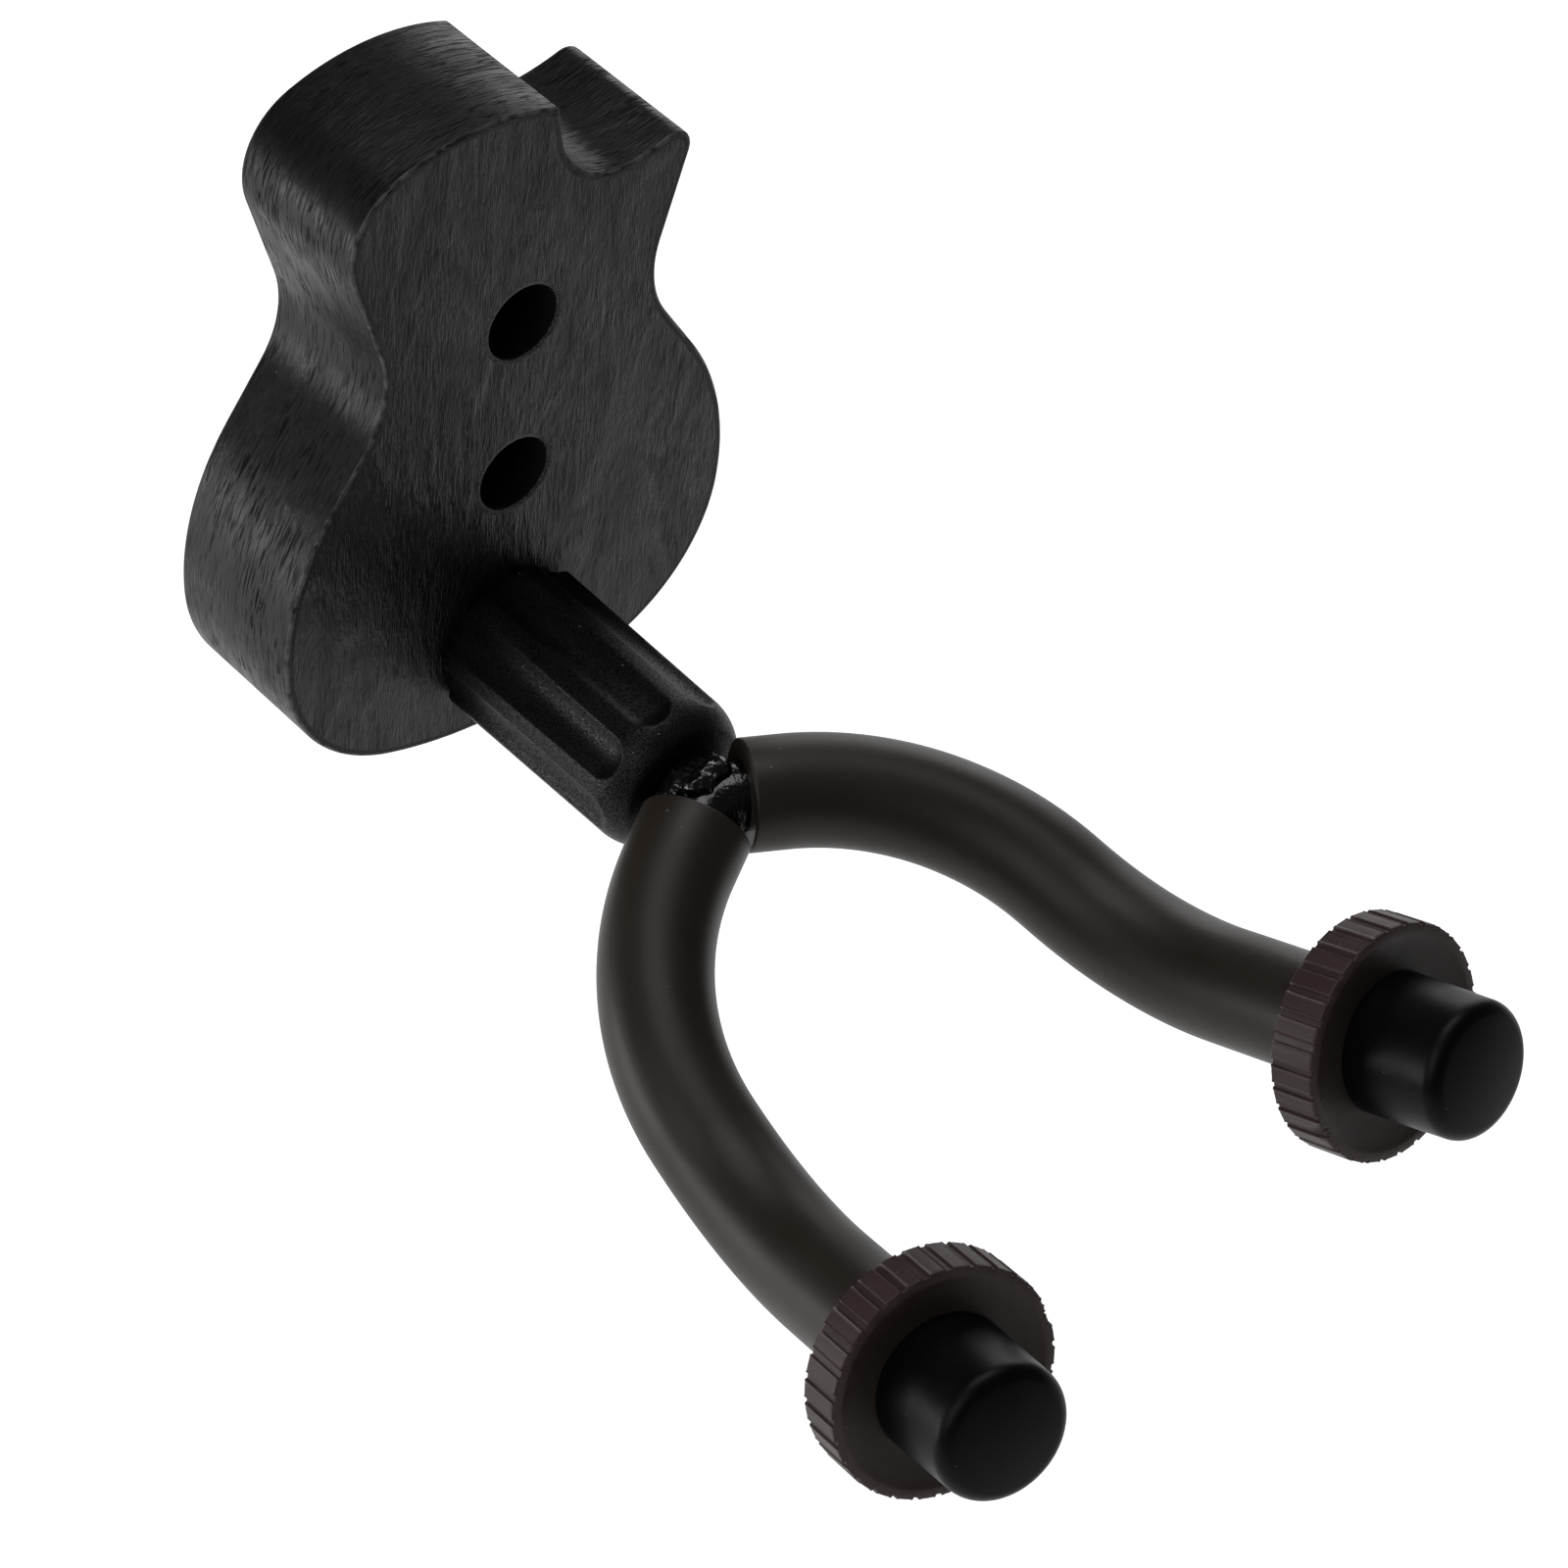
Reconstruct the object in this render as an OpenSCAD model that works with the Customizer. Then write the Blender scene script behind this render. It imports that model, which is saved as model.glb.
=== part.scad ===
// Wall guitar hanger: a guitar-shaped wooden wall block, a fluted spacer on a pivot bolt,
// and a bent-rod yoke in rubber tubes that turns on the bolt.
// The wall is the plane y = 0 and the hanger stands out from it along -Y.
// The origin is on the wall, midway between the two screw holes. +Z is up.

/* [Wall block] */
// Thickness of the wooden block
block_t = 20; // [16:0.5:25]
// Distance between the two wall screws
screw_gap = 22.1; // [20:0.1:26]
// Radius of each screw's clearance hole
screw_r = 2.5; // [2:0.1:3]
// Radius of each screw's counterbore
sink_r = 4.9; // [4.2:0.1:5.5]
// Depth of each counterbore
sink_depth = 12; // [6:0.5:15]
// Drop from the middle of the screws to the pivot bolt
pivot_drop = 35.4; // [34:0.1:40]

/* [Pivot] */
// Radius of the pivot bolt's shank
bolt_r = 3; // [2.5:0.25:3.25]
// Radial clearance around the turning shank
bolt_play = 0.06; // [0.02:0.01:0.1]
// Across-flats size of the bolt head and the nut
hex_af = 10; // [9:0.5:13]
// Height of the bolt head
head_h = 4; // [3:0.5:6]
// Radius of the nut pocket in the back of the block
pocket_r = 8.5; // [8:0.25:10]
// Depth of the nut pocket
pocket_depth = 9; // [8.5:0.25:11]

/* [Fluted spacer] */
// Length of the spacer
spacer_len = 32.9; // [28:0.1:45]
// Radius of the spacer at the block
spacer_r = 10.25; // [9:0.05:12]
// Radius of the spacer where the nose rounding starts
spacer_front_r = 9.95; // [9:0.05:12]
// Number of flutes
flutes = 8; // [6:1:10]
// Depth of each flute
flute_depth = 1.25; // [0.6:0.05:1.6]

/* [Yoke] */
// Turn of the yoke from level, positive lifts its right arm
yoke_turn = 10; // [-30:1:30]
// Radius of the steel rod
rod_r = 4; // [3:0.25:4.5]
// Outer radius of the rubber tubes
tube_r = 6.65; // [6:0.05:8]
// Radius of the stop discs
disc_r = 13.6; // [12:0.1:16]
// Thickness of the stop discs
disc_t = 6; // [4:0.5:8]
// Number of lands around each disc
disc_lands = 30; // [24:1:36]
// Radius of the end caps
cap_r = 8.1; // [7.5:0.05:9]
// Length of the end caps past the discs
cap_len = 13; // [10:0.5:18]

/* [Hidden] */

eps = 0.5;              // overshoot of cutters past a face
face_gap = 0.05;        // running gap between faces that turn on each other
fit_play = 0.05;        // rubber on rod
fine = 96;              // facets asked for on round parts
sweep_sides = 24;       // sides of the swept rod and tubes
bend_steps = 9;         // rings around each bend

washer_r = 2 * bolt_r;
washer_t = 1.6;
washer_bore_r = bolt_r + 0.2;
nut_h = 6;
insert_h = 1.5;
insert_r = bolt_r + 1.1;
bolt_proud = 0.4;       // bolt end past the nut

nose_r = 6.5;           // rounding of the spacer's nose
nose_depth = 4.6;       // length of that rounding
heel_chamfer = 1.2;     // chamfer at the block end of the spacer
flute_cut_r = 4.2;      // radius of the cutter that makes a flute
flute_run_out = 2.4;    // from the flute's end to the spacer's front face
first_flute = 10.5;     // angle of the first flute from +X

land_share = 0.66;      // part of each pitch that is land
groove_depth = 0.25;
rim_chamfer = 0.25;
rim_width = 1.3;        // flat ring round the disc's front face
dish_depth = 0.5;       // the face slopes in by this much from the ring to the cap
cap_taper = 0.15;       // loss of radius towards the cap's closed end
cap_round = 1.9;        // rounding of the cap's closed end
cap_dome = 0.5;         // rise of the closed end in its middle
cap_round_turn = 81;    // turn of the rounding before the dome takes over
cap_bore_depth = 9;

// Corners of the right arm's centre line before bending: sideways, out from the wall, up,
// measured from the pivot axis where it meets the wall
arm_root = [3.3, 59.3, 1.6];
arm_knee = [24, 69.5, -2.8];
arm_dip = [28.2, 100.3, -11.7];
arm_tip = [32.8, 134.7, 1.2];
knee_bend = 36;         // bend radius at the knee
dip_bend = 38;          // bend radius at the dip
hub_bend = 6;           // bend radius of the V at the hub
rod_past_disc = 8.8;    // rod inside the cap

head_y = block_t + spacer_len + face_gap;
shank_len = head_y - (pocket_depth - washer_t - face_gap - nut_h) + bolt_proud;

// Outline of the block as arcs walked from the bottom centre: [radius, turn in degrees].
// A negative radius bends the other way, and radius 0 is a straight of the second value.
lower_bout = [[53.5, 18.4], [22.3, 66.5], [35, 39], [0, 8.2]];
horn_side = [[-13.6, 50], [0, 11.7], [2.5, 125], [-30, 10.5], [-9.2, 89], [0, 4.5]];
shoulder_side = [[-13.6, 53.2], [0, 12.2], [10, 86.5], [29.5, 43.8]];
bottom_below_pivot = 13.2;

function unit(v) = v / norm(v);
function heading(a) = [cos(a), sin(a)];
function leg_steps(turn) = ceil(turn / 7);
function arc_leg(p, h, r, turn) =
    let (o = p + r * heading(h + 90), n = leg_steps(turn))
    [for (k = [1:n]) o - r * heading(h + 90 + sign(r) * turn * k / n)];
function walk(p, h, legs, i = 0) =
    i == len(legs) ? [] :
    let (r = legs[i][0], a = legs[i][1])
    let (pts = r == 0 ? [p + a * heading(h)] : arc_leg(p, h, r, a))
    concat(pts, walk(pts[len(pts) - 1], h + sign(r) * a, legs, i + 1));
function reversed(l) = [for (i = [len(l) - 1:-1:0]) l[i]];

// Arc of radius r that rounds the corner b between a and c
function bend(a, b, c, r) =
    let (ua = unit(a - b), uc = unit(c - b), half = acos(ua * uc) / 2)
    let (o = b + unit(ua + uc) * r / sin(half), s = r / tan(half), sweep = 180 - 2 * half)
    let (from = b + ua * s - o, to = b + uc * s - o)
    [for (k = [0:bend_steps])
        let (g = sweep * k / bend_steps)
        o + (sin(sweep - g) * from + sin(g) * to) / sin(sweep)];

// A point of the yoke, from sideways-out-up to x, y, z, on the side s = 1 or -1
function yoke_point(p, s) = [s * p[0], -p[1], p[2]];
function arm_corner(s) = [for (p = [arm_root, arm_knee, arm_dip, arm_tip]) yoke_point(p, s)];
function tip_dir(s) = unit(arm_corner(s)[3] - arm_corner(s)[2]);
function root_dir(s) = unit(arm_corner(s)[1] - arm_corner(s)[0]);
// Where the V of the rod would come to a point, in the plane of symmetry
function hub_corner() =
    let (d = root_dir(1), p = arm_corner(1)[0])
    p - d * p[0] / d[0];
function arm_line(s, first, last) =
    let (c = arm_corner(s))
    concat([first], bend(c[0], c[1], c[2], knee_bend), bend(c[1], c[2], c[3], dip_bend), [last]);

// Ring of points around p, square to the direction t
function ring(p, t, r) =
    let (side = unit(cross(t, [0, 0, 1])), up = cross(side, t))
    [for (k = [0:sweep_sides - 1])
        let (a = 360 * k / sweep_sides)
        p + r * (cos(a) * side + sin(a) * up)];
function tangent(l, i) = unit(l[min(i + 1, len(l) - 1)] - l[max(i - 1, 0)]);

function ring_points(l, r) = [for (i = [0:len(l) - 1]) each ring(l[i], tangent(l, i), r)];
// Triangles between neighbouring rings, the first ring starting at the point numbered from
function ring_walls(rings, from) = [for (i = [0:rings - 2]) for (k = [0:sweep_sides - 1])
    let (n = sweep_sides, a = from + i * n + k, b = from + i * n + (k + 1) % n)
    each [[a, a + n, b + n], [a, b + n, b]]];
function flipped(faces) = [for (f = faces) reversed(f)];

// A round bar of radius r along the line l
module sweep_bar(l, r) {
    n = sweep_sides;
    start_cap = [[for (k = [0:n - 1]) k]];
    end_cap = [[for (k = [n - 1:-1:0]) (len(l) - 1) * n + k]];
    polyhedron(ring_points(l, r), concat(start_cap, ring_walls(len(l), 0), end_cap), convexity = 6);
}

// A round tube along the line l
module sweep_tube(l, r_out, r_in) {
    n = sweep_sides;
    inner = len(l) * n;
    last = inner - n;
    start_rim = [for (k = [0:n - 1])
        let (a = k, b = (k + 1) % n)
        each [[a, b, b + inner], [a, b + inner, a + inner]]];
    end_rim = [for (k = [0:n - 1])
        let (a = last + k, b = last + (k + 1) % n)
        each [[a, b + inner, b], [a, a + inner, b + inner]]];
    polyhedron(concat(ring_points(l, r_out), ring_points(l, r_in)),
        concat(ring_walls(len(l), 0), flipped(ring_walls(len(l), inner)), start_rim, end_rim),
        convexity = 6);
}

// Places what is drawn along +Z on the pivot axis, pointing out from the wall
module on_pivot(out = 0) {
    translate([0, -out, -pivot_drop]) rotate([90, 0, 0]) children();
}

// Places the yoke, drawn about the pivot axis through the origin
module on_yoke() {
    translate([0, 0, -pivot_drop]) rotate([0, -yoke_turn, 0]) children();
}

// Places what is drawn along +Z on an arm's tip, with z = 0 at the disc's front face
module on_tip(s) {
    d = tip_dir(s);
    on_yoke() translate(arm_corner(s)[3]) rotate([0, acos(d[2]), atan2(d[1], d[0])]) children();
}

module hexagon(h) {
    cylinder(r = hex_af / sqrt(3), h = h, $fn = 6);
}

module head_solid() {
    translate([0, -head_y, 0]) rotate([90, 0, 0]) rotate(-12) hexagon(head_h);
}

module wood_block() {
    start = [0, -pivot_drop - bottom_below_pivot];
    right = walk(start, 0, concat(lower_bout, horn_side));
    left = [for (p = walk(start, 0, concat(lower_bout, shoulder_side))) [-p[0], p[1]]];
    color([0.05, 0.05, 0.055]) difference() {
        rotate([90, 0, 0]) linear_extrude(block_t) polygon(concat([start], right, reversed(left)));
        for (s = [-1, 1]) translate([0, 0, s * screw_gap / 2]) rotate([90, 0, 0]) {
            translate([0, 0, -eps]) cylinder(r = screw_r, h = block_t + 2 * eps, $fn = fine);
            translate([0, 0, block_t - sink_depth]) cylinder(r = sink_r, h = sink_depth + eps, $fn = fine);
        }
        on_pivot() {
            translate([0, 0, -eps]) cylinder(r = bolt_r + bolt_play, h = block_t + 2 * eps, $fn = fine);
            translate([0, 0, -eps]) cylinder(r = pocket_r, h = pocket_depth + eps, $fn = fine);
        }
    }
}

module spacer_blank() {
    nose_start = spacer_len - nose_depth;
    nose = [for (k = [0:6])
        let (a = asin(nose_depth / nose_r) * k / 6)
        [spacer_front_r - nose_r * (1 - cos(a)), nose_start + nose_r * sin(a)]];
    bore = bolt_r + bolt_play;
    rotate_extrude($fn = fine) polygon(concat(
        [[bore, 0], [spacer_r - heel_chamfer, 0], [spacer_r, heel_chamfer]],
        nose, [[bore, spacer_len]]));
}

module flute_cutter() {
    end_z = spacer_len - flute_run_out - 3;
    tip = [for (k = [0:7])
        let (a = 90 * k / 7)
        [flute_cut_r * cos(a), end_z + flute_cut_r * sin(a)]];
    rotate_extrude($fn = fine) polygon(concat([[0, -eps], [flute_cut_r, -eps]], tip));
}

module fluted_spacer() {
    cutter_x = spacer_front_r - flute_depth + flute_cut_r;
    color([0.09, 0.09, 0.095]) on_pivot(block_t) difference() {
        spacer_blank();
        for (i = [0:flutes - 1]) rotate(first_flute + 360 * i / flutes)
            translate([cutter_x, 0, 0]) flute_cutter();
    }
}

module rear_washer() {
    color([0.75, 0.75, 0.76]) on_pivot(pocket_depth - washer_t) difference() {
        cylinder(r = washer_r, h = washer_t, $fn = fine);
        translate([0, 0, -eps]) cylinder(r = washer_bore_r, h = washer_t + 2 * eps, $fn = fine);
    }
}

module pivot_bolt() {
    color([0.03, 0.03, 0.03]) on_yoke() {
        head_solid();
        translate([0, -head_y + shank_len, 0]) rotate([90, 0, 0]) cylinder(r = bolt_r, h = shank_len, $fn = fine);
    }
}

module lock_nut() {
    nut_out = pocket_depth - washer_t - face_gap - nut_h;
    color([0.78, 0.78, 0.8]) on_yoke() translate([0, -nut_out, 0]) rotate([90, 0, 0]) difference() {
        hexagon(nut_h);
        translate([0, 0, -eps]) cylinder(r = bolt_r, h = nut_h + 2 * eps, $fn = fine);
        translate([0, 0, -eps]) cylinder(r = insert_r, h = insert_h + eps, $fn = fine);
    }
}

module nut_insert() {
    nut_out = pocket_depth - washer_t - face_gap - nut_h;
    color([0.2, 0.35, 0.7]) on_yoke() translate([0, -nut_out, 0]) rotate([90, 0, 0]) difference() {
        cylinder(r = insert_r, h = insert_h, $fn = fine);
        translate([0, 0, -eps]) cylinder(r = bolt_r, h = insert_h + 2 * eps, $fn = fine);
    }
}

module yoke_rod() {
    right = arm_line(1, hub_corner(), arm_corner(1)[3] + rod_past_disc * tip_dir(1));
    left = arm_line(-1, hub_corner(), arm_corner(-1)[3] + rod_past_disc * tip_dir(-1));
    hub = bend(arm_corner(-1)[1], hub_corner(), arm_corner(1)[1], hub_bend);
    drop_first = [for (i = [1:len(right) - 1]) right[i]];
    left_part = reversed([for (i = [1:len(left) - 1]) left[i]]);
    color([0.04, 0.04, 0.04]) on_yoke() difference() {
        sweep_bar(concat(left_part, hub, drop_first), rod_r);
        head_solid();
    }
}

// A bead of weld laid across the rod and the bolt head, above or below the rod
module weld_bead(up) {
    bead_r = 1.7;
    half = 1.6;
    ends = [for (k = [0:5])
        let (a = 90 * k / 5)
        [bead_r * cos(a), half + bead_r * sin(a)]];
    profile = concat(reversed([for (p = ends) [p[0], -p[1]]]), ends);
    color([0.05, 0.05, 0.05]) on_yoke()
        translate([0, -head_y - head_h - 0.6, hub_corner()[2] + up * 3.4])
        rotate([0, 90, 0]) rotate_extrude($fn = 48) polygon(profile);
}

module arm_tube(s) {
    tube_end = arm_corner(s)[3] - disc_t * tip_dir(s);
    color([0.13, 0.12, 0.11]) on_yoke()
        sweep_tube(arm_line(s, arm_corner(s)[0], tube_end), tube_r, rod_r + fit_play);
}

module stop_disc(s) {
    pitch = 360 / disc_lands;
    groove_w = 2 * disc_r * sin(pitch * (1 - land_share) / 2);
    color([0.14, 0.1, 0.1]) on_tip(s) difference() {
        rotate_extrude($fn = fine) polygon([
            [rod_r, -disc_t], [disc_r, -disc_t], [disc_r, -rim_chamfer],
            [disc_r - rim_chamfer, 0], [disc_r - rim_width, 0],
            [cap_r, -dish_depth], [rod_r, -dish_depth]]);
        for (i = [0:disc_lands - 1]) rotate(pitch * i)
            translate([disc_r - groove_depth, -groove_w / 2, -disc_t - eps])
            cube([2, groove_w, disc_t + 2 * eps]);
    }
}

module end_cap(s) {
    round_x = cap_r - cap_taper - cap_round;
    dome_edge = round_x + cap_round * cos(cap_round_turn);
    dome_r = (dome_edge * dome_edge + cap_dome * cap_dome) / (2 * cap_dome);
    round_z = cap_len - cap_dome - cap_round * sin(cap_round_turn);
    rounding = [for (k = [0:6])
        let (a = cap_round_turn * k / 6)
        [round_x + cap_round * cos(a), round_z + cap_round * sin(a)]];
    dome = [for (k = [1:3])
        let (a = asin(dome_edge / dome_r) * (1 - k / 4))
        [dome_r * sin(a), cap_len - dome_r * (1 - cos(a))]];
    color([0.06, 0.06, 0.06]) on_tip(s)
        rotate_extrude($fn = fine) polygon(concat(
            [[rod_r + fit_play, -dish_depth], [cap_r, -dish_depth]], rounding, dome,
            [[0, cap_len], [0, cap_bore_depth], [rod_r + fit_play, cap_bore_depth]]));
}

wood_block();
fluted_spacer();
rear_washer();
pivot_bolt();
lock_nut();
nut_insert();
yoke_rod();
weld_bead(1);  // weld_upper
weld_bead(-1);  // weld_lower
arm_tube(-1);  // left_tube
arm_tube(1);  // right_tube
stop_disc(-1);  // left_disc
stop_disc(1);  // right_disc
end_cap(-1);  // left_cap
end_cap(1);  // right_cap
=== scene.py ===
import math

import bmesh
import bpy
from mathutils import Matrix, Vector, noise


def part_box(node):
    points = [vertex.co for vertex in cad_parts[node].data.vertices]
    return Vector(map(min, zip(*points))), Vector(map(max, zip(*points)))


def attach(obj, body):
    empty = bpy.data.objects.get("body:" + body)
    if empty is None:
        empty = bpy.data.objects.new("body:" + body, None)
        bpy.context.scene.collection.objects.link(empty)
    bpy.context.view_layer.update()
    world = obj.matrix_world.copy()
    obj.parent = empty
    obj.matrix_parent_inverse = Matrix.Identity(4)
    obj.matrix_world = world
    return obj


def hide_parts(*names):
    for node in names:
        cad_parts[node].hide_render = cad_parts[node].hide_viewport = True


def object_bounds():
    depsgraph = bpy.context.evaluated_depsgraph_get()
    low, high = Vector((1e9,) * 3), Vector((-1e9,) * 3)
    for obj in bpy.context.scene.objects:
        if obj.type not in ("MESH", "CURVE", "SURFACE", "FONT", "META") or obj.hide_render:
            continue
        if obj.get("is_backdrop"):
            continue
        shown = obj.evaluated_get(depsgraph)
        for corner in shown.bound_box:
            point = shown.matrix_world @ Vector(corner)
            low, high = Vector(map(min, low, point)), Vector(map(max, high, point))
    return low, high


# Lengths are in metres and angles in degrees. The wall is the plane y = 0, the hanger stands
# out from it along -Y, and the origin is midway between the two screw holes.

# Wall block
EASED = 0.00045         # rounding of the block's front and back edges
SCREW_GAP = 0.0221
SCREW_R = 0.0025
SINK_R = 0.0049
SINK_DEPTH = 0.012
HOLE_EASE = 0.00025     # softened rim of the drilled holes
HOLE_RING = 0.0004      # ring of flat face kept round each hole
FACE_RING = 0.0005      # the same along the outline and round the pivot's bore
POCKET_R = 0.0085
POCKET_DEPTH = 0.009
BOTTOM_BELOW_PIVOT = 0.0132
# Outline walked as arcs from the bottom centre: radius, and turn in degrees. A negative radius
# bends the other way, and radius 0 is a straight of the second value.
LOWER_BOUT = ((0.0535, 18.4), (0.0223, 66.5), (0.035, 39), (0, 0.0082))
HORN_SIDE = ((-0.0136, 50), (0, 0.0117), (0.0025, 125), (-0.03, 10.5), (-0.0092, 89),
             (0, 0.0041), (0.0007, 29.8))
SHOULDER_SIDE = ((-0.0136, 53.2), (0, 0.0122), (0.01, 86.5), (0.0295, 43), (0.0007, 29.8))

# Pivot
PIVOT_DROP = 0.0354
BOLT_R = 0.003
BOLT_PLAY = 0.00006
HEX_AF = 0.010
HEX_FACE = 0.97         # share of the flats' width left flat on a hexagon's chamfered end
HEX_CONE = 30           # slope of that chamfer
HEAD_H = 0.004
HEAD_TURN = 12          # turn of the bolt head on its axis
NUT_H = 0.006
INSERT_H = 0.0015
INSERT_R = 0.0041
WASHER_R = 0.006
WASHER_T = 0.0016
WASHER_BORE_R = 0.0032

# Fluted spacer
SPACER_R = 0.01025
SPACER_FRONT_R = 0.00995
NOSE_R = 0.0065
NOSE_DEPTH = 0.0046
HEEL_CHAMFER = 0.0012
FLUTES = 8
FLUTE_SIDES = 44        # sides of the skin from one flute to the next
FIRST_FLUTE = 10.5
FLUTE_DEPTH = 0.00125
FLUTE_CUT_R = 0.0042
FLUTE_STOP = 0.0054     # from the front face back to where the flutes' round ends begin
MOULDED_EDGE = 0.00022  # softening of the flutes' edges

# Yoke. The arm's corners are sideways, out from the wall and up from the pivot axis.
YOKE_TURN = 10
ROD_R = 0.004
TUBE_R = 0.00665
TUBE_BORE_R = 0.00405
ARM_ROOT = (0.0033, 0.0593, 0.0016)
ARM_KNEE = (0.024, 0.0695, -0.0028)
ARM_DIP = (0.0282, 0.1003, -0.0117)
ARM_TIP = (0.0328, 0.1347, 0.0012)
KNEE_BEND = 0.036
DIP_BEND = 0.038
HUB_BEND = 0.006
ROD_PAST_DISC = 0.0088
BEAD_R = 0.0017
BEAD_HALF = 0.0016
BEAD_RISE = 0.0034      # centre of each bead above or below the rod's
BEAD_OUT = 0.0006       # and in front of the bolt head's face
LUMP_HEIGHT = 0.00045   # relief of the weld: lumps, grit and ripples, each with its own size
LUMP_SIZE = 0.0015
GRIT_HEIGHT = 0.00014
GRIT_SIZE = 0.00045
RIPPLE_HEIGHT = 0.00005
RIPPLE_SIZE = 0.00028
PIT_R = 0.0009          # pit in each weld bead, its lip, and its place along and round the bead
PIT_DEPTH = 0.0006
PIT_LIP = 0.0002
PIT_ALONG = 0.0005
PIT_TURN = 4.85         # in radians

# Stop discs and end caps
DISC_R = 0.0136
DISC_T = 0.006
DISC_LANDS = 30
LAND_SIDES = 24         # sides of the rim from one land to the next
LAND_SHARE = 0.66
GROOVE_DEPTH = 0.00025
LAND_LIP = 0.00009      # raised edge of each land
LAND_SLOPE = 0.22       # share of half a groove that its slanted side takes
LIP_FADE = 0.07         # share of the pitch over which the raised edge fades
RIM_CHAMFER = 0.00025
RIM_WIDTH = 0.0013
DISH_DEPTH = 0.0005
RIGHT_TEAR = 190        # where moulding flash has torn out of each disc's front rim
LEFT_TEAR = 5
TEAR_R = 0.001
TEAR_DEPTH = 0.0008
TEAR_RAG = 0.0004       # size of the ragged edge's lumps
CAP_R = 0.0081
CAP_TAPER = 0.00015
CAP_LEN = 0.013
CAP_ROUND = 0.0019
CAP_DOME = 0.0005
CAP_ROUND_TURN = 81
CAP_STRAIGHT = 0.0012   # straight foot of the cap's side, before the taper

# Sides of the round pieces
ROUND = 72
ROD_ROUND = 48
CAP_SIDES = 96
HEX_ROUND = 144
MERGE_GAP = 1e-7        # points closer than this are one

# Material slots of the block. Slot 0 is the face's wood.
SIDE_WOOD, BORED_WOOD = 1, 2

# Studio, with the camera's lens and sensor in mm
FLOOR_DROP = 0.105      # floor below the lowest point of the hanger
FLOOR_HALF = 3.0
CAMERA_AIM = (0.0214, -0.0475, -0.0507)
CAMERA_AZIMUTH = -45
CAMERA_ELEVATION = 43.1
CAMERA_ROLL = 6.3
CAMERA_DISTANCE = 0.65
CAMERA_LENS = 125.5
CAMERA_SENSOR = 36


# ---------------------------------------------------------------- studio

def direction(azimuth, elevation):
    """Unit vector towards a place round the object, with azimuth 0 straight out from the wall."""
    a, e = math.radians(azimuth), math.radians(elevation)
    return Vector((math.cos(e) * math.sin(a), -math.cos(e) * math.cos(a), math.sin(e)))


def facing(back, roll=0.0):
    """Rotation whose local -Z looks against the vector back."""
    side = Vector((0, 0, 1)).cross(back).normalized()
    basis = Matrix((side, back.cross(side), back)).transposed()
    return basis @ Matrix.Rotation(math.radians(roll), 3, "Z")


def add_camera():
    """Camera at the photo's angle."""
    data = bpy.data.cameras.new("camera")
    data.lens = CAMERA_LENS
    data.sensor_width = CAMERA_SENSOR
    camera = bpy.data.objects.new("camera", data)
    bpy.context.scene.collection.objects.link(camera)
    back = direction(CAMERA_AZIMUTH, CAMERA_ELEVATION)
    place = Matrix.Translation(Vector(CAMERA_AIM) + CAMERA_DISTANCE * back)
    camera.matrix_world = place @ facing(back, CAMERA_ROLL).to_4x4()
    bpy.context.scene.camera = camera


def add_softbox(name, azimuth, elevation, distance, size, watts, colour=(1, 1, 1)):
    """Rectangular area light that faces the camera's aim."""
    data = bpy.data.lights.new(name, "AREA")
    data.shape = "RECTANGLE"
    data.size, data.size_y = size
    data.energy = watts
    data.color = colour
    light = bpy.data.objects.new(name, data)
    bpy.context.scene.collection.objects.link(light)
    back = direction(azimuth, elevation)
    place = Matrix.Translation(Vector(CAMERA_AIM) + distance * back)
    light.matrix_world = place @ facing(back).to_4x4()


def add_studio():
    """Dim sky and four soft lights."""
    world = bpy.data.worlds.new("studio")
    world.use_nodes = True
    sky = world.node_tree.nodes["Background"]
    sky.inputs["Color"].default_value = (0.98, 0.99, 1, 1)
    sky.inputs["Strength"].default_value = 0.1
    bpy.context.scene.world = world
    bpy.context.scene.view_settings.view_transform = "Standard"
    add_softbox("top_light", 168, 79, 0.9, (0.65, 0.45), 3.6, (1, 0.99, 0.98))
    add_softbox("side_light", -120, -5, 0.6, (0.4, 0.16), 1.65)
    add_softbox("fill_light", -80, 36, 0.9, (0.6, 0.6), 2.6)
    add_softbox("rim_light", 124, 17, 0.8, (0.5, 0.5), 2)


# ---------------------------------------------------------------- mesh helpers

def turned(radius_at, height, count):
    """Closed loop of points round the local Z axis. radius_at(angle) takes degrees."""
    loop = []
    for k in range(count):
        angle = 360 * k / count
        radius, turn = radius_at(angle), math.radians(angle)
        loop.append(Vector((radius * math.cos(turn), radius * math.sin(turn), height)))
    return loop


def circle(radius, height, count):
    """Round closed loop of points on the local Z axis."""
    return turned(lambda angle: radius, height, count)


def add_loft(bm, loops, to_world, grain=None, wrap=False):
    """Quads between neighbouring loops of local points, put in place by the matrix to_world.
    grain(i, k) is the straightened place of point k of loop i, which the materials read. Without
    it they read the local place."""
    layer = bm.loops.layers.float_vector.get("grain") or bm.loops.layers.float_vector.new("grain")
    count = len(loops[0])
    place = grain or (lambda i, k: loops[i % len(loops)][k % count])
    rings = [[bm.verts.new(to_world @ p) for p in loop] for loop in loops]
    for i in range(len(loops) if wrap else len(loops) - 1):
        for k in range(count):
            corners = ((i, k), (i, k + 1), (i + 1, k + 1), (i + 1, k))
            face = bm.faces.new([rings[a % len(loops)][b % count] for a, b in corners])
            for corner, (a, b) in zip(face.loops, corners):
                corner[layer] = place(a, b)
    return rings


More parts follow.
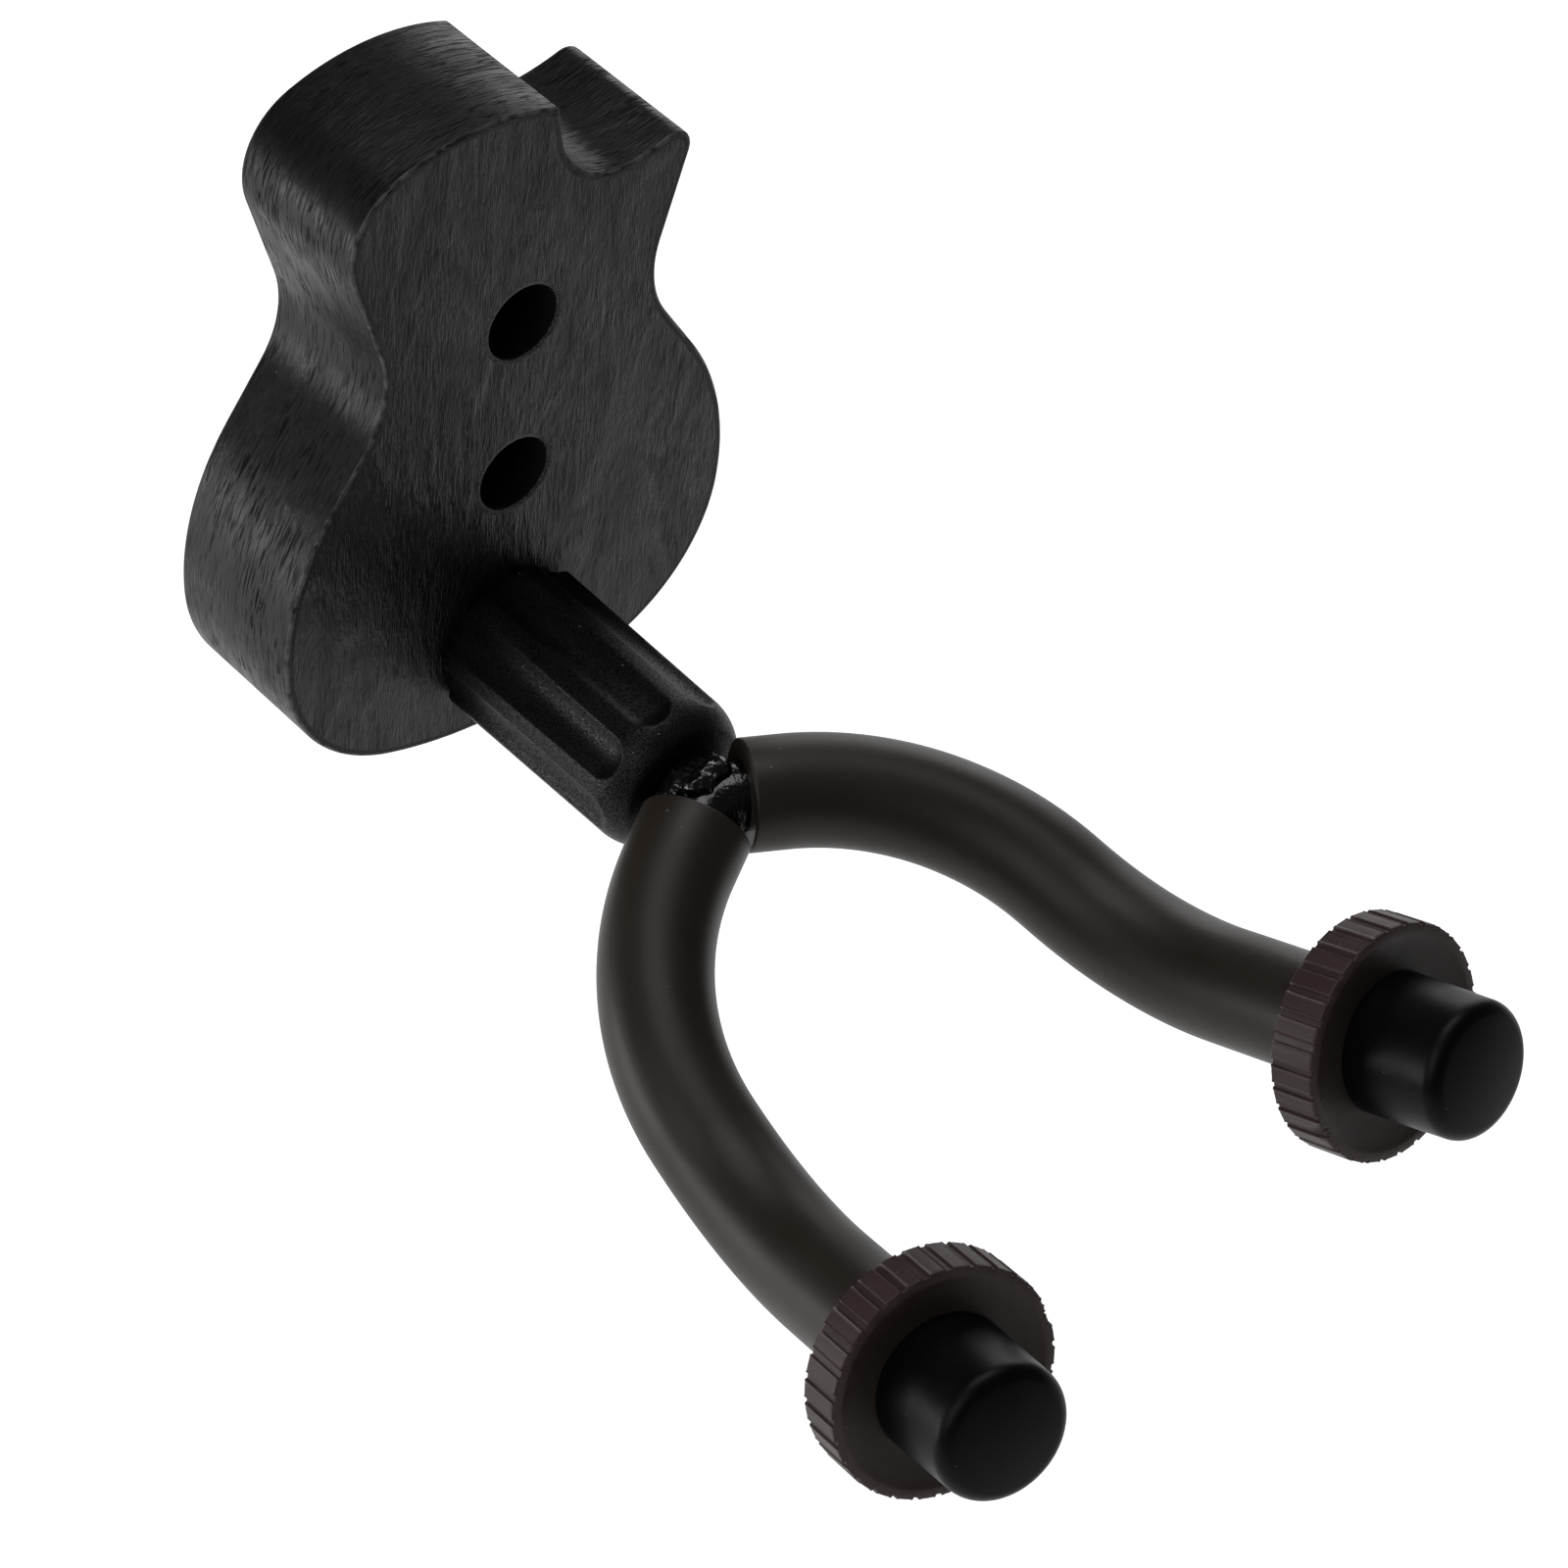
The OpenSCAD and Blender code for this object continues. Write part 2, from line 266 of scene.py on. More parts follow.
def close_ring(bm, ring, centre, to_world):
    """Fan of triangles from a loop of vertices to a point on the axis."""
    layer = bm.loops.layers.float_vector.get("grain")
    back = to_world.inverted()
    hub = bm.verts.new(to_world @ centre)
    for k, vert in enumerate(ring):
        face = bm.faces.new((vert, ring[(k + 1) % len(ring)], hub))
        for corner in face.loops:
            corner[layer] = back @ corner.vert.co


def fill_between(bm, rings):
    """Flat triangulated face bounded by closed loops of vertices: an outline and its holes."""
    layer = bm.loops.layers.float_vector.get("grain")
    edges = [bm.edges.get((ring[k - 1], ring[k])) for ring in rings for k in range(len(ring))]
    made = bmesh.ops.triangle_fill(bm, use_beauty=True, use_dissolve=False, edges=edges)
    for face in (g for g in made["geom"] if isinstance(g, bmesh.types.BMFace)):
        for corner in face.loops:
            corner[layer] = corner.vert.co


def finish_piece(bm, name, node, body, material, sharp=38):
    """Turns the bmesh into a piece that replaces the CAD node and rides on the body. Edges bent by
    more than sharp degrees stay sharp."""
    bmesh.ops.recalc_face_normals(bm, faces=bm.faces)
    mesh = bpy.data.meshes.new(name)
    bm.to_mesh(mesh)
    bm.free()
    mesh.shade_smooth()
    mesh.set_sharp_from_angle(angle=math.radians(sharp))
    mesh.materials.append(material)
    piece = bpy.data.objects.new(name, mesh)
    bpy.context.scene.collection.objects.link(piece)
    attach(piece, body)
    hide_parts(node)
    return piece


def wall_frame(x, z, out=0.0):
    """Frame square to the wall: local Z points out, starting at the distance out from the wall."""
    return Matrix.Translation((x, -out, z)) @ Matrix.Rotation(math.radians(90), 4, "X")


def yoke_frame():
    """Frame at the pivot on the wall, its X and Z turned with the yoke."""
    turn = Matrix.Rotation(math.radians(-YOKE_TURN), 4, "Y")
    return Matrix.Translation((0, 0, -PIVOT_DROP)) @ turn


def bolt_frame(out):
    """Frame on the pivot axis, turned with the yoke: local Z points out from the wall."""
    return yoke_frame() @ wall_frame(0, 0, out)


def arc(radius, start, end, steps):
    """Offsets along an arc, from angle start to end in degrees, as (across, along) pairs."""
    angles = (math.radians(start + (end - start) * k / steps) for k in range(steps + 1))
    return [(radius * math.cos(a), radius * math.sin(a)) for a in angles]


# ---------------------------------------------------------------- materials

class Surface:
    """A node material with one Principled shader, and short calls for the nodes that drive it."""

    def __init__(self, name, **shader_values):
        self.material = bpy.data.materials.new(name)
        self.material.use_nodes = True
        self.tree = self.material.node_tree
        self.tree.nodes.clear()
        output = self.tree.nodes.new("ShaderNodeOutputMaterial")
        self.shader = self.tree.nodes.new("ShaderNodeBsdfPrincipled")
        self.link(self.shader.outputs["BSDF"], output.inputs["Surface"])
        for key, value in shader_values.items():
            self.shader.inputs[key.replace("_", " ")].default_value = value
        self.grain = self.add("ShaderNodeAttribute", attribute_name="grain").outputs["Vector"]

    def link(self, source, target):
        """Links an output socket to an input socket."""
        self.tree.links.new(source, target)

    def put(self, value, target):
        """Sets a socket to a number or colour, or links another socket to it."""
        if isinstance(value, bpy.types.NodeSocket):
            self.link(value, target)
        else:
            target.default_value = value

    def add(self, kind, **settings):
        """Adds a node of a kind and sets its settings."""
        node = self.tree.nodes.new(kind)
        for key, value in settings.items():
            setattr(node, key, value)
        return node

    def stretched(self, x, y, z):
        """Places measured in cells of x by y by z metres."""
        node = self.add("ShaderNodeVectorMath", operation="DIVIDE")
        self.link(self.grain, node.inputs[0])
        node.inputs[1].default_value = (x, y, z)
        return node.outputs["Vector"]

    def noise(self, cell, detail=2.0, rough=0.5, distort=0.0):
        """Noise from 0 to 1 with lumps of about one cell."""
        node = self.add("ShaderNodeTexNoise")
        self.link(self.stretched(*cell), node.inputs["Vector"])
        values = {"Scale": 1.0, "Detail": detail, "Roughness": rough, "Distortion": distort}
        for key, value in values.items():
            node.inputs[key].default_value = value
        return node.outputs["Fac"]

    def specks(self, cell, size):
        """1 inside small scattered spots and 0 elsewhere."""
        node = self.add("ShaderNodeTexVoronoi")
        self.link(self.stretched(cell, cell, cell), node.inputs["Vector"])
        node.inputs["Scale"].default_value = 1.0
        return self.fit(node.outputs["Distance"], size, size * 0.6, 0.0, 1.0)

    def fit(self, value, low, high, to_low, to_high):
        """Maps low..high to to_low..to_high, clamped."""
        node = self.add("ShaderNodeMapRange")
        for socket, number in zip(node.inputs, (value, low, high, to_low, to_high)):
            self.put(number, socket)
        return node.outputs["Result"]

    def math(self, operation, *values):
        """Result of an operation on numbers or sockets."""
        node = self.add("ShaderNodeMath", operation=operation)
        for value, socket in zip(values, node.inputs):
            self.put(value, socket)
        return node.outputs["Value"]

    def mix(self, share, a, b):
        """Colour a where share is 0, colour b where it is 1. Inputs 6 and 7 and output 2 are the
        node's colour sockets."""
        node = self.add("ShaderNodeMix", data_type="RGBA")
        self.put(share, node.inputs["Factor"])
        for value, socket in ((a, node.inputs[6]), (b, node.inputs[7])):
            self.put((*value, 1) if isinstance(value, tuple) else value, socket)
        return node.outputs[2]

    def spot(self, centre, full, gone, strength):
        """Strength inside the radius full round an upright axis, fading to 0 at the radius gone."""
        flat = self.add("ShaderNodeVectorMath", operation="MULTIPLY")
        self.link(self.grain, flat.inputs[0])
        flat.inputs[1].default_value = (1, 1, 0)
        away = self.add("ShaderNodeVectorMath", operation="DISTANCE")
        self.link(flat.outputs["Vector"], away.inputs[0])
        away.inputs[1].default_value = (*centre, 0)
        return self.fit(away.outputs["Value"], full, gone, strength, 0.0)

    def edge(self):
        """1 along the edges marked in the mesh and 0 elsewhere."""
        return self.add("ShaderNodeAttribute", attribute_name="edge").outputs["Fac"]

    def bump(self, height, distance, strength=1.0, under=None):
        """Normal of a relief that stands out by the distance, on top of the normal under."""
        node = self.add("ShaderNodeBump")
        node.inputs["Strength"].default_value = strength
        node.inputs["Distance"].default_value = distance
        self.link(height, node.inputs["Height"])
        if under is not None:
            self.link(under, node.inputs["Normal"])
        return node.outputs["Normal"]

    def finish(self, colour, roughness, normal):
        """Links the three sockets that every material drives, and gives the material."""
        self.link(colour, self.shader.inputs["Base Color"])
        self.link(roughness, self.shader.inputs["Roughness"])
        self.link(normal, self.shader.inputs["Normal"])
        return self.material


def stained_wood(name, gloss, pore_shade, relief):
    """Black stain over open grain that runs along the third grain coordinate. gloss is the
    specular level, pore_shade how dark and dull the open pores are, and relief how far the grain
    stands out."""
    s = Surface(name)
    ripple = s.noise((0.00032, 0.00032, 0.0019), detail=1.5, rough=0.5, distort=0.9)
    figure = s.noise((0.008, 0.008, 0.02), detail=2, rough=0.45, distort=2.2)
    pores = s.noise((0.00028, 0.00028, 0.0032), detail=1, distort=0.4)
    pores = s.fit(pores, 0.52, 0.64, 0.0, pore_shade)
    patch = s.fit(s.noise((0.006, 0.006, 0.012), detail=2), 0.38, 0.6, 0.3, 1.0)
    pores = s.math("MULTIPLY", pores, patch)
    tone = s.math("ADD", s.math("MULTIPLY", ripple, 0.6), s.math("MULTIPLY", figure, 0.4))
    tone = s.fit(tone, 0.4, 0.6, 0.0, 1.0)
    stain = s.mix(tone, (0.0015, 0.0015, 0.002), (0.0075, 0.0075, 0.0077))
    stain = s.mix(pores, stain, (0.0007, 0.0006, 0.0024))
    # paler line along the eased edges: part wear of the stain, part painted highlight
    edge_wear_and_highlight = s.math("MULTIPLY", s.edge(), s.fit(ripple, 0.38, 0.62, 0.1, 0.75))
    stain = s.mix(edge_wear_and_highlight, stain, (0.075, 0.073, 0.072))
    stain = s.mix(s.math("MULTIPLY", s.specks(0.0036, 0.03), 0.4), stain, (0.3, 0.3, 0.29))
    height = s.math("MULTIPLY_ADD", figure, 3.0, ripple)
    height = s.math("SUBTRACT", height, s.math("MULTIPLY", pores, 0.6))
    shine = s.math("ADD", s.fit(figure, 0.38, 0.62, 0.44, 0.33), s.math("MULTIPLY", pores, 0.3))
    s.link(s.fit(pores, 0.0, 1.0, gloss, 0.04), s.shader.inputs["Specular IOR Level"])
    return s.finish(stain, shine, s.bump(height, relief, 1.0))


def bored_wood():
    """Rough end of the bored holes, dry and nearly unlit."""
    s = Surface("bored_wood", Specular_IOR_Level=0.1)
    rings = s.noise((0.003, 0.003, 0.0003), detail=2)
    colour = s.mix(rings, (0.0012, 0.0012, 0.0015), (0.004, 0.004, 0.0045))
    return s.finish(colour, s.fit(rings, 0.3, 0.7, 0.7, 0.9), s.bump(rings, 0.0001, 0.6))


def spacer_plastic():
    """Moulded black plastic with a fine spark-eroded texture."""
    s = Surface("spacer_plastic")
    texture = s.noise((0.00021, 0.00021, 0.00021), detail=1, rough=0.6)
    cloud = s.noise((0.005, 0.005, 0.009), detail=2)
    tone = s.math("ADD", s.math("MULTIPLY", texture, 0.65), s.math("MULTIPLY", cloud, 0.35))
    tone = s.fit(tone, 0.38, 0.62, 0.0, 1.0)
    colour = s.mix(tone, (0.0003, 0.0003, 0.0004), (0.0032, 0.0032, 0.0034))
    dust = s.math("MULTIPLY", s.specks(0.0026, 0.045), 0.4)
    colour = s.mix(dust, colour, (0.3, 0.3, 0.29))
    s.link(s.fit(texture, 0.3, 0.7, 0.03, 0.22), s.shader.inputs["Specular IOR Level"])
    return s.finish(colour, s.fit(texture, 0.3, 0.7, 0.5, 0.36), s.bump(texture, 0.00004, 1.0))


def black_steel():
    """Gloss black paint, with the sag of thick paint and a few scuffed spots."""
    s = Surface("black_steel", Specular_IOR_Level=0.36)
    peel = s.noise((0.0007, 0.0007, 0.0007), detail=2)
    fleck = s.fit(s.noise((0.0016, 0.0016, 0.0016), detail=3, rough=0.7), 0.62, 0.72, 0.0, 0.5)
    colour = s.mix(fleck, (0.002, 0.002, 0.0025), (0.02, 0.019, 0.019))
    return s.finish(colour, s.fit(peel, 0.3, 0.7, 0.1, 0.26), s.bump(peel, 0.00012, 0.8))


def zinc_steel():
    """Bright zinc plating with fine turning marks and a faint cloud."""
    s = Surface("zinc_steel", Metallic=1.0)
    cloud = s.noise((0.003, 0.003, 0.003), detail=3)
    lines = s.noise((0.002, 0.002, 0.00008), detail=1)
    colour = s.mix(cloud, (0.5, 0.51, 0.54), (0.7, 0.7, 0.68))
    return s.finish(colour, s.fit(cloud, 0.3, 0.7, 0.24, 0.42), s.bump(lines, 0.00001, 0.5))


def nylon():
    """Blue locking insert, satin, with the marks of the thread it grips."""
    s = Surface("nylon", Subsurface_Weight=0.1, Subsurface_Scale=0.0004)
    cloud = s.noise((0.001, 0.001, 0.001), detail=3)
    lines = s.noise((0.0006, 0.0006, 0.00012), detail=1)
    colour = s.mix(cloud, (0.02, 0.07, 0.26), (0.04, 0.12, 0.36))
    return s.finish(colour, s.fit(cloud, 0.3, 0.7, 0.35, 0.5), s.bump(lines, 0.00003, 0.5))


def tube_rubber():
    """Extruded rubber: satin, with faint drawn lines along the tube and a little bloom."""
    s = Surface("tube_rubber", Specular_IOR_Level=0.23, Sheen_Weight=0.01, Sheen_Roughness=0.4)
    drawn = s.noise((0.0007, 0.0007, 0.03), detail=3, rough=0.55)
    skin = s.noise((0.00018, 0.00018, 0.00018), detail=2)
    bloom = s.noise((0.009, 0.009, 0.02), detail=3, rough=0.6)
    colour = s.mix(bloom, (0.0084, 0.0058, 0.0040), (0.0148, 0.0106, 0.0077))
    colour = s.mix(s.math("MULTIPLY", s.specks(0.0045, 0.035), 0.3), colour, (0.25, 0.24, 0.22))
    shine = s.math("ADD", s.fit(bloom, 0.3, 0.7, 0.37, 0.47), s.math("MULTIPLY", skin, 0.05))
    lined = s.bump(drawn, 0.00003, 0.4)
    return s.finish(colour, shine, s.bump(skin, 0.000012, 0.5, under=lined))


def disc_rubber():
    """Moulded brown rubber with a purple cast, paler on the raised land edges and the front rim:
    wear, and a painted highlight.
    """
    s = Surface("disc_rubber", Specular_IOR_Level=0.16, Sheen_Weight=0.02, Sheen_Roughness=0.4)
    skin = s.noise((0.00025, 0.00025, 0.00025), detail=2)
    flow = s.noise((0.004, 0.004, 0.009), detail=3, rough=0.6, distort=1.0)
    colour = s.mix(flow, (0.0215, 0.0125, 0.0128), (0.0365, 0.0218, 0.0222))
    dish = s.spot((0, 0), DISC_R - 2.6 * RIM_WIDTH, DISC_R - RIM_WIDTH, 0.85)
    colour = s.mix(dish, colour, (0.0155, 0.0122, 0.0096))
    # paler land edges and front rim: part wear, part painted highlight
    rim_wear_and_highlight = s.math("MULTIPLY", s.edge(), s.fit(flow, 0.3, 0.6, 0.3, 0.8))
    colour = s.mix(rim_wear_and_highlight, colour, (0.075, 0.052, 0.052))
    colour = s.mix(s.math("MULTIPLY", s.specks(0.003, 0.04), 0.3), colour, (0.25, 0.23, 0.22))
    return s.finish(colour, s.fit(flow, 0.3, 0.7, 0.36, 0.5), s.bump(skin, 0.00003, 0.5))


def cap_rubber():
    """Matte black moulded rubber with a dry, slightly dusty skin."""
    s = Surface("cap_rubber", Specular_IOR_Level=0.085)
    skin = s.noise((0.0002, 0.0002, 0.0002), detail=3, rough=0.6)
    cloud = s.noise((0.005, 0.005, 0.005), detail=3, rough=0.6)
    colour = s.mix(cloud, (0.0006, 0.0006, 0.0008), (0.002, 0.002, 0.0024))
    colour = s.mix(s.math("MULTIPLY", s.specks(0.0026, 0.045), 0.3), colour, (0.25, 0.25, 0.24))
    return s.finish(colour, s.fit(cloud, 0.3, 0.7, 0.34, 0.44), s.bump(skin, 0.000015, 0.6))


def glowing_floor():
    """Matt white sheet with a painted glow: a pool of emitted light under the object, fading far
    away, that lights the hanger from below.
    """
    s = Surface("glowing_floor", Emission_Color=(1, 1, 1, 1))
    fibre = s.noise((0.002, 0.002, 0.002), detail=4)
    colour = s.mix(fibre, (0.86, 0.86, 0.86), (0.9, 0.9, 0.9))
    # painted light: the sheet glows as a pool round the spot under the hanger, full within 0.28 m
    # and gone at 2 m
    s.link(s.spot((0.07, 0.04), 0.28, 2.0, 0.53), s.shader.inputs["Emission Strength"])
    return s.finish(colour, s.fit(fibre, 0, 1, 0.85, 0.95), s.bump(fibre, 0.0001, 0.1))


# ---------------------------------------------------------------- wall block

def walk(legs, step=0.0009):
    """Points along half of the outline with the headings there, from the bottom centre."""
    place, heading = Vector((0, -PIVOT_DROP - BOTTOM_BELOW_PIVOT)), 0.0
    found = [(place, heading)]
    for radius, amount in legs:
        length = amount if radius == 0 else abs(radius) * math.radians(amount)
        count = max(2, math.ceil(length / step))
        turn = 0 if radius == 0 else math.copysign(math.radians(amount), radius)
        side = Vector((-math.sin(heading), math.cos(heading)))
        centre = place + radius * side
        for k in range(1, count + 1):
            h = heading + turn * k / count
            if radius == 0:
                point = place + Vector((math.cos(h), math.sin(h))) * length * k / count
            else:
                point = centre - radius * Vector((-math.sin(h), math.cos(h)))
            found.append((point, h))
        place, heading = found[-1]
    return found


def block_outline():
    """Points of the whole outline and their outward directions, anticlockwise from the front."""
    right = walk(LOWER_BOUT + HORN_SIDE)
    left = walk(LOWER_BOUT + SHOULDER_SIDE)
    points = [p for p, _ in right] + [Vector((-p.x, p.y)) for p, _ in reversed(left[1:-1])]
    outward = [Vector((math.sin(h), -math.cos(h))) for _, h in right]
    outward += [Vector((-math.sin(h), -math.cos(h))) for _, h in reversed(left[1:-1])]
    return points, outward


def block_profile(thick):
    """(inset, height from the wall) pairs from the back face round the eased edges to the front."""
    ease = [(EASED - across, EASED - along) for across, along in arc(EASED, 90, 0, 5)]
    profile = [(EASED + FACE_RING, 0.0)] + ease
    return profile + [(inset, thick - height) for inset, height in reversed(profile)]


def screw_hole(thick):
    """(radius, height from the wall) pairs of a counterbored hole, from the front to the back."""
    rim = HOLE_EASE
    return [(SINK_R + rim + HOLE_RING, thick), (SINK_R + rim, thick),
            (SINK_R + 0.3 * rim, thick - 0.3 * rim), (SINK_R, thick - rim),
            (SINK_R, thick - SINK_DEPTH), (SCREW_R, thick - SINK_DEPTH), (SCREW_R, rim),
            (SCREW_R + 0.3 * rim, 0.3 * rim), (SCREW_R + rim, 0), (SCREW_R + rim + HOLE_RING, 0)]


def pivot_hole(thick):
    """(radius, height from the wall) pairs of the pivot's bore and the nut pocket behind it."""
    rim = HOLE_EASE
    bore = BOLT_R + BOLT_PLAY
    return [(bore + FACE_RING, thick), (bore, thick), (bore, POCKET_DEPTH),
            (POCKET_R, POCKET_DEPTH), (POCKET_R, rim), (POCKET_R + rim, 0),
            (POCKET_R + rim + HOLE_RING, 0)]


def add_hole(bm, z, profile, lip):
    """Round hole on the block's centre line. lip is the number of rings at each end that belong to
    the faces, and what lies between them takes the bored wood's material."""
    rings = add_loft(bm, [circle(r, h, ROUND) for r, h in profile], wall_frame(0, z))
    inside = set(v for ring in rings[lip:-lip] for v in ring)
    for face in set(f for v in inside for f in v.link_faces):
        if all(v in inside for v in face.verts):
            face.material_index = BORED_WOOD
    return rings[0], rings[-1]


def wood_block(face_wood, side_wood, bored):
    """The block, its grain running up the faces and round the sides."""
    thick = -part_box("wood_block")[0].y
    points, outward = block_outline()
    profile = block_profile(thick)
    loops = [[Vector((p.x - n.x * inset, -height, p.y - n.y * inset))
              for p, n in zip(points, outward)] for inset, height in profile]
    lengths = [0.0]
    for k in range(len(points)):
        lengths.append(lengths[-1] + (points[(k + 1) % len(points)] - points[k]).length)
    half = lengths[-1] / 2

    def grain(i, k):
        inset, height = profile[i]
        if inset > EASED:
            return loops[i][k % len(points)]
        return Vector((height - inset, 0.0, abs(lengths[k] - half)))

    bm = bmesh.new()
    rings = add_loft(bm, loops, Matrix.Identity(4), grain)
    for face in bm.faces:
        face.material_index = SIDE_WOOD
    fronts, backs = [rings[-1]], [rings[0]]
    screw, pivot = screw_hole(thick), pivot_hole(thick)
    holes = ((SCREW_GAP / 2, screw, 3), (-SCREW_GAP / 2, screw, 3), (-PIVOT_DROP, pivot, 1))
    for z, hole, lip in holes:
        front, back = add_hole(bm, z, hole, lip)
        fronts.append(front)
        backs.append(back)
    fill_between(bm, fronts)
    fill_between(bm, backs)
    mark_edges(bm, lambda co: edge_share(co, thick))
    piece = finish_piece(bm, "block", "wood_block", "wall_mount", face_wood)
    piece.data.materials.append(side_wood)
    piece.data.materials.append(bored)


def edge_share(co, thick):
    """1 on the rounded front and back edges of the block and 0 elsewhere."""
    height = -co.y
    near = min(abs(height), abs(thick - height))
    return 1.0 if 0.02 * EASED < near < EASED * 0.9 else 0.0


def mark_edges(bm, share):
    """Stores share(place) at each point as the edge mask that the materials read: paler edges, part
    wear and part painted highlight.
    """
    layer = bm.verts.layers.float.new("edge")
    for vert in bm.verts:
        vert[layer] = share(vert.co)


# ---------------------------------------------------------------- pivot

def spacer_profile(length):
    """(radius, height) pairs of the spacer's skin, from the block over the nose and back through
    the bore, and the height at which the flutes' round ends begin."""
    bore = BOLT_R + BOLT_PLAY
    soft = 0.0003
    skin = [(bore + soft, 0), (SPACER_R - HEEL_CHAMFER - soft, 0),
            (SPACER_R - HEEL_CHAMFER, soft * 0.3),
            (SPACER_R - soft * 0.3, HEEL_CHAMFER - soft * 0.3), (SPACER_R, HEEL_CHAMFER + soft)]
    nose_start = length - NOSE_DEPTH
    flute_end = length - FLUTE_STOP
    straight, close = 12, 26
    skin += [(SPACER_R + (SPACER_FRONT_R - SPACER_R) * k / straight,
              HEEL_CHAMFER + soft + (flute_end - HEEL_CHAMFER - soft) * k / straight)
             for k in range(1, straight + 1)]
    for k in range(1, close + 1):
        height = flute_end + (length - soft - flute_end) * k / close
        rise = max(0.0, height - nose_start)
        skin.append((SPACER_FRONT_R - NOSE_R * (1 - math.cos(math.asin(rise / NOSE_R))), height))
    face_r = SPACER_FRONT_R - NOSE_R * (1 - math.cos(math.asin(NOSE_DEPTH / NOSE_R)))
    skin += [(face_r - soft * 0.5, length), (bore + soft, length), (bore, length - soft),
             (bore, soft)]
    return skin, flute_end


def fluted_radius(radius, height, angle, flute_end):
    """Radius of the skin where a flute's round-ended cutter has taken from it."""
    pitch = 360 / FLUTES
    off = math.radians((angle - FIRST_FLUTE + pitch / 2) % pitch - pitch / 2)
    past = max(0.0, height - flute_end)
    if past >= FLUTE_CUT_R:
        return radius
    cut_r = math.sqrt(FLUTE_CUT_R ** 2 - past ** 2)
    axis = SPACER_FRONT_R - FLUTE_DEPTH + FLUTE_CUT_R
    reach = cut_r ** 2 - (axis * math.sin(off)) ** 2
    if reach <= 0:
        return radius
    floor = axis * math.cos(off) - math.sqrt(reach)
    gap = max(0.0, 1 - abs(radius - floor) / MOULDED_EDGE)
    return min(radius, floor) - gap * gap * MOULDED_EDGE / 4


def fluted_spacer(material):
    """Moulded sleeve between the block and the yoke."""
    low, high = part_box("fluted_spacer")
    skin, flute_end = spacer_profile(high.y - low.y)
    inside = BOLT_R + 0.001
    loops = []
    for radius, height in skin:
        def radius_at(angle):
            if radius < inside:
                return radius
            return fluted_radius(radius, height, angle, flute_end)
        loops.append(turned(radius_at, height, FLUTES * FLUTE_SIDES))
    bm = bmesh.new()
    add_loft(bm, loops, wall_frame(0, -PIVOT_DROP, -high.y), wrap=True)
    finish_piece(bm, "spacer", "fluted_spacer", "wall_mount", material, sharp=50)


def lathe(profile, to_world):
    """Closed round body from (radius, height) pairs."""
    bm = bmesh.new()
    add_loft(bm, [circle(r, h, ROUND) for r, h in profile], to_world, wrap=True)
    return bm


def rear_washer(material):
    """Plain washer at the bottom of the nut pocket."""
    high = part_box("rear_washer")[1]
    soft = 0.00025
    profile = [(WASHER_BORE_R, soft), (WASHER_BORE_R + soft, 0), (WASHER_R - soft, 0),
               (WASHER_R, soft), (WASHER_R, WASHER_T - soft / 2), (WASHER_R - soft / 2, WASHER_T),
               (WASHER_BORE_R + soft, WASHER_T), (WASHER_BORE_R, WASHER_T - soft)]
    bm = lathe(profile, wall_frame(0, -PIVOT_DROP, -high.y))
    finish_piece(bm, "washer", "rear_washer", "wall_mount", material, sharp=30)


def hex_radius(angle, limit, turn):
    """Radius of a hexagon at an angle, its corners turned off to the limit radius."""
    off = (angle - turn) % 60 - 30
    return min(HEX_AF / 2 / math.cos(math.radians(off)), limit)


def hex_prism(bm, length, turn, to_world, inner, chamfer_start):
    """Hexagonal ring on the local Z axis with its corners turned off by a cone at the far end, and
    at the start too where chamfer_start says so."""
    corner = HEX_AF / math.sqrt(3)
    flat = HEX_AF / 2 * HEX_FACE
    drop = (corner - flat) * math.tan(math.radians(HEX_CONE))
    cone = [(drop * s, flat + (corner - flat) * s) for s in (0.0, 0.25, 0.5, 0.75, 1.0)]
    rows = [(height, limit if chamfer_start else corner) for height, limit in cone]
    rows += [(length - height, limit) for height, limit in reversed(cone)]
    loops = [turned(lambda angle: hex_radius(angle, limit, turn), height, HEX_ROUND)
             for height, limit in rows]
    loops = [circle(inner, 0, HEX_ROUND)] + loops + [circle(inner, length, HEX_ROUND)]
    return add_loft(bm, loops, to_world)


def lock_nut(material):
    """Hexagonal nut with a seat for the locking ring in the end that faces the wall."""
    to_world = bolt_frame(-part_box("lock_nut")[1].y)
    bm = bmesh.new()
    hex_prism(bm, NUT_H, 0, to_world, INSERT_R, False)
    bore = ((INSERT_R, 0), (INSERT_R, INSERT_H), (BOLT_R, INSERT_H), (BOLT_R, NUT_H),
            (INSERT_R, NUT_H))
    add_loft(bm, [circle(r, h, HEX_ROUND) for r, h in bore], to_world)
    bmesh.ops.remove_doubles(bm, verts=bm.verts, dist=MERGE_GAP)
    finish_piece(bm, "nut", "lock_nut", "yoke", material, sharp=25)


def nut_insert(material):
    """Locking ring seated in the nut."""
    soft = 0.0003
    profile = [(BOLT_R, soft), (BOLT_R + soft * 0.5, 0), (INSERT_R - soft, 0), (INSERT_R, soft),
               (INSERT_R, INSERT_H), (BOLT_R, INSERT_H)]
    bm = lathe(profile, bolt_frame(-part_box("nut_insert")[1].y))
    finish_piece(bm, "nut_ring", "nut_insert", "yoke", material, sharp=30)


